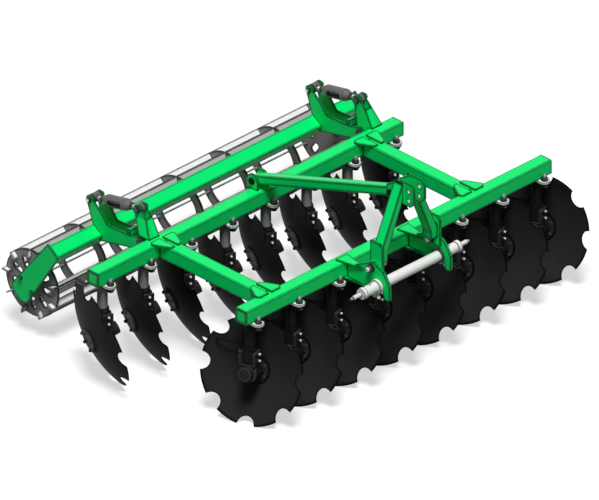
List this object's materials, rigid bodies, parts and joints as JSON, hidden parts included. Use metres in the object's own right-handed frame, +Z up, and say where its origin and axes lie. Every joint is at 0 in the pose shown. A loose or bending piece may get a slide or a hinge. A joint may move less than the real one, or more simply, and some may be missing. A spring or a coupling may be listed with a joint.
{
  "type": "disc harrow",
  "caption": "Mounted disc harrow: staggered rows of notched discs on single stands under a square-tube frame, with a three-point hitch and a caged bar roller behind.",
  "frame": {"origin": "on the floor below the middle of the harrow's length and width, floor at the discs' lowest points", "axes": "+X to the harrow's left as it faces forward, +Y to the rear, +Z up; the hitch is at -Y"},
  "size_m": [2.5058, 1.8768, 1.1214],
  "materials": {
    "green_paint": "smooth bright green enamel",
    "disc_steel": "near-black satin paint on pressed steel",
    "hub_grey": "dark grey satin paint",
    "stand_grey": "mid grey satin paint",
    "plated_steel": "pale plated steel",
    "turnbuckle_grey": "dark grey forged steel",
    "roller_grey": "dark grey paint",
    "bar_light": "pale grey rolled flat steel"
  },
  "bodies": {
    "frame": {"front_beam": "green_paint", "rear_beam": "green_paint", "side_beam_left": "green_paint", "side_beam_right": "green_paint", "beam_caps": "green_paint", "gusset_plates": "green_paint", "hitch_bracket_left": "green_paint", "hitch_bracket_right": "green_paint", "cross_shaft": "plated_steel", "shaft_clamps": "plated_steel", "mast_leg_left": "green_paint", "mast_leg_right": "green_paint", "mast_plates": "green_paint", "backstay": "green_paint", "backstay_clevis": "green_paint", "stay_pins": "stand_grey", "front_clamps": "plated_steel", "rear_clamps": "plated_steel", "front_stands": "stand_grey", "rear_stands": "stand_grey", "front_carriers": "hub_grey", "rear_carriers": "hub_grey", "roller_post_left": "green_paint", "roller_post_right": "green_paint"},
    "roller_frame": {"roller_beam": "green_paint", "roller_arm_left": "green_paint", "roller_arm_right": "green_paint", "roller_side_plate_left": "green_paint", "roller_side_plate_right": "green_paint", "roller_bearings": "roller_grey"},
    "roller": {"roller_rings": "roller_grey", "roller_bars": "bar_light"},
    "disc_front_1": {"disc_front_1": "disc_steel"},
    "disc_front_2": {"disc_front_2": "disc_steel"},
    "disc_front_3": {"disc_front_3": "disc_steel"},
    "disc_front_4": {"disc_front_4": "disc_steel"},
    "disc_front_5": {"disc_front_5": "disc_steel"},
    "disc_front_6": {"disc_front_6": "disc_steel"},
    "disc_front_7": {"disc_front_7": "disc_steel"},
    "disc_front_8": {"disc_front_8": "disc_steel"},
    "disc_rear_1": {"disc_rear_1": "disc_steel"},
    "disc_rear_2": {"disc_rear_2": "disc_steel"},
    "disc_rear_3": {"disc_rear_3": "disc_steel"},
    "disc_rear_4": {"disc_rear_4": "disc_steel"},
    "disc_rear_5": {"disc_rear_5": "disc_steel"},
    "disc_rear_6": {"disc_rear_6": "disc_steel"},
    "disc_rear_7": {"disc_rear_7": "disc_steel"},
    "disc_rear_8": {"disc_rear_8": "disc_steel"},
    "turnbuckle_left": {"turnbuckle_barrel_left": "turnbuckle_grey"},
    "turnbuckle_end_left": {"turnbuckle_screw_left": "turnbuckle_grey"},
    "turnbuckle_right": {"turnbuckle_barrel_right": "turnbuckle_grey"},
    "turnbuckle_end_right": {"turnbuckle_screw_right": "turnbuckle_grey"}
  },
  "joints": [
    {"name": "disc_front_1_spin", "type": "hinge", "parent": "frame", "child": "disc_front_1", "pos_m": [-0.8625, -0.6035, 0.26536], "axis": [0.9033, 0.3288, -0.2756], "continuous": true},
    {"name": "disc_front_2_spin", "type": "hinge", "parent": "frame", "child": "disc_front_2", "pos_m": [-0.5775, -0.6035, 0.26536], "axis": [0.9033, 0.3288, -0.2756], "continuous": true},
    {"name": "disc_front_3_spin", "type": "hinge", "parent": "frame", "child": "disc_front_3", "pos_m": [-0.2925, -0.6035, 0.26536], "axis": [0.9033, 0.3288, -0.2756], "continuous": true},
    {"name": "disc_front_4_spin", "type": "hinge", "parent": "frame", "child": "disc_front_4", "pos_m": [-0.0075, -0.6035, 0.26536], "axis": [0.9033, 0.3288, -0.2756], "continuous": true},
    {"name": "disc_front_5_spin", "type": "hinge", "parent": "frame", "child": "disc_front_5", "pos_m": [0.2775, -0.6035, 0.26536], "axis": [0.9033, 0.3288, -0.2756], "continuous": true},
    {"name": "disc_front_6_spin", "type": "hinge", "parent": "frame", "child": "disc_front_6", "pos_m": [0.5625, -0.6035, 0.26536], "axis": [0.9033, 0.3288, -0.2756], "continuous": true},
    {"name": "disc_front_7_spin", "type": "hinge", "parent": "frame", "child": "disc_front_7", "pos_m": [0.8475, -0.6035, 0.26536], "axis": [0.9033, 0.3288, -0.2756], "continuous": true},
    {"name": "disc_front_8_spin", "type": "hinge", "parent": "frame", "child": "disc_front_8", "pos_m": [1.1325, -0.6035, 0.26536], "axis": [0.9033, 0.3288, -0.2756], "continuous": true},
    {"name": "disc_rear_1_spin", "type": "hinge", "parent": "frame", "child": "disc_rear_1", "pos_m": [-1.1325, 0.1775, 0.26536], "axis": [-0.9033, 0.3288, -0.2756], "continuous": true},
    {"name": "disc_rear_2_spin", "type": "hinge", "parent": "frame", "child": "disc_rear_2", "pos_m": [-0.8475, 0.1775, 0.26536], "axis": [-0.9033, 0.3288, -0.2756], "continuous": true},
    {"name": "disc_rear_3_spin", "type": "hinge", "parent": "frame", "child": "disc_rear_3", "pos_m": [-0.5625, 0.1775, 0.26536], "axis": [-0.9033, 0.3288, -0.2756], "continuous": true},
    {"name": "disc_rear_4_spin", "type": "hinge", "parent": "frame", "child": "disc_rear_4", "pos_m": [-0.2775, 0.1775, 0.26536], "axis": [-0.9033, 0.3288, -0.2756], "continuous": true},
    {"name": "disc_rear_5_spin", "type": "hinge", "parent": "frame", "child": "disc_rear_5", "pos_m": [0.0075, 0.1775, 0.26536], "axis": [-0.9033, 0.3288, -0.2756], "continuous": true},
    {"name": "disc_rear_6_spin", "type": "hinge", "parent": "frame", "child": "disc_rear_6", "pos_m": [0.2925, 0.1775, 0.26536], "axis": [-0.9033, 0.3288, -0.2756], "continuous": true},
    {"name": "disc_rear_7_spin", "type": "hinge", "parent": "frame", "child": "disc_rear_7", "pos_m": [0.5775, 0.1775, 0.26536], "axis": [-0.9033, 0.3288, -0.2756], "continuous": true},
    {"name": "disc_rear_8_spin", "type": "hinge", "parent": "frame", "child": "disc_rear_8", "pos_m": [0.8625, 0.1775, 0.26536], "axis": [-0.9033, 0.3288, -0.2756], "continuous": true},
    {"name": "roller_frame_hinge", "type": "hinge", "parent": "frame", "child": "roller_frame", "pos_m": [0.033, 0.2625, 0.60336], "axis": [1, 0, 0], "range_deg": [-8, 10]},
    {"name": "roller_spin", "type": "hinge", "parent": "roller_frame", "child": "roller", "pos_m": [-0.015, 0.7535, 0.28836], "axis": [1, 0, 0], "continuous": true},
    {"name": "turnbuckle_left_pivot", "type": "hinge", "parent": "frame", "child": "turnbuckle_left", "pos_m": [0.798, 0.3015, 0.77336], "axis": [1, 0, 0], "range_deg": [-8.2, 10.25]},
    {"name": "turnbuckle_left_screw", "type": "slide", "parent": "turnbuckle_left", "child": "turnbuckle_end_left", "axis": [0, 0.979, -0.2038], "range_m": [-0.0303, 0.02424]},
    {"name": "turnbuckle_right_pivot", "type": "hinge", "parent": "frame", "child": "turnbuckle_right", "pos_m": [-0.732, 0.3015, 0.77336], "axis": [1, 0, 0], "range_deg": [-8.2, 10.25]},
    {"name": "turnbuckle_right_screw", "type": "slide", "parent": "turnbuckle_right", "child": "turnbuckle_end_right", "axis": [0, 0.979, -0.2038], "range_m": [-0.0303, 0.02424]}
  ],
  "couplings": [
    {"joint": "turnbuckle_left_pivot", "follows": "roller_frame_hinge", "ratio": 1.0243},
    {"joint": "turnbuckle_left_screw", "follows": "roller_frame_hinge", "m_per_rad": -0.17353},
    {"joint": "turnbuckle_right_pivot", "follows": "roller_frame_hinge", "ratio": 1.0243},
    {"joint": "turnbuckle_right_screw", "follows": "roller_frame_hinge", "m_per_rad": -0.17353}
  ]
}
